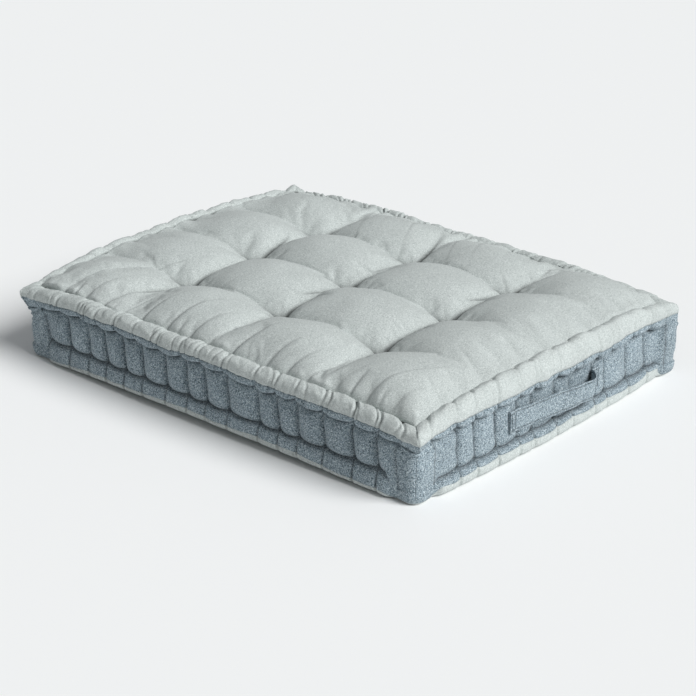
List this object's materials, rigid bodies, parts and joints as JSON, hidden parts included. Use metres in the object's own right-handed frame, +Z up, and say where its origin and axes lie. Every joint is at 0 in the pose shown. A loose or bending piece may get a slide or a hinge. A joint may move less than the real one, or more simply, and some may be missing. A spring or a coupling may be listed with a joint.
{
  "type": "futon mattress",
  "caption": "Thick tufted futon mattress with hand-stitched rolled edges, a darker side band and a fabric carrying strap on one short side.",
  "frame": {"origin": "middle of the flat underside that rests on the floor", "axes": "+X along the long sides, towards the side with the carrying strap; +Y along the short sides; +Z up through the thickness"},
  "size_m": [1.0192, 0.8, 0.2],
  "materials": {
    "ticking_light": "matte pale grey melange linen and cotton weave",
    "band_dark": "matte blue-grey melange weave",
    "cotton_fill": "needled raw cotton batt",
    "twine": "waxed linen twine",
    "thread_dark": "heavy dark cotton thread",
    "thread_light": "heavy pale cotton thread"
  },
  "bodies": {
    "mattress": {"top_panel": "ticking_light", "bottom_panel": "ticking_light", "side_band_front": "band_dark", "side_band_right": "band_dark", "side_band_back": "band_dark", "side_band_left": "band_dark", "cotton_batt_1": "cotton_fill", "cotton_batt_2": "cotton_fill", "cotton_batt_3": "cotton_fill", "cotton_batt_4": "cotton_fill", "cotton_batt_5": "cotton_fill", "cotton_batt_6": "cotton_fill", "top_roll_filling": "cotton_fill", "bottom_roll_filling": "cotton_fill", "tuft_ties": "twine", "top_roll_side_stitches": "thread_dark", "bottom_roll_side_stitches": "thread_dark", "top_roll_groove_stitches": "thread_light", "bottom_roll_groove_stitches": "thread_light", "handle_end_left": "band_dark", "handle_end_right": "band_dark", "handle_tack_stitches": "thread_dark"},
    "handle": {"handle_strap": "band_dark"}
  },
  "joints": [
    {"name": "handle_swing", "type": "hinge", "parent": "mattress", "child": "handle", "pos_m": [0.492, 0, 0.072], "axis": [0, -1, 0], "range_deg": [-30, 35]}
  ]
}
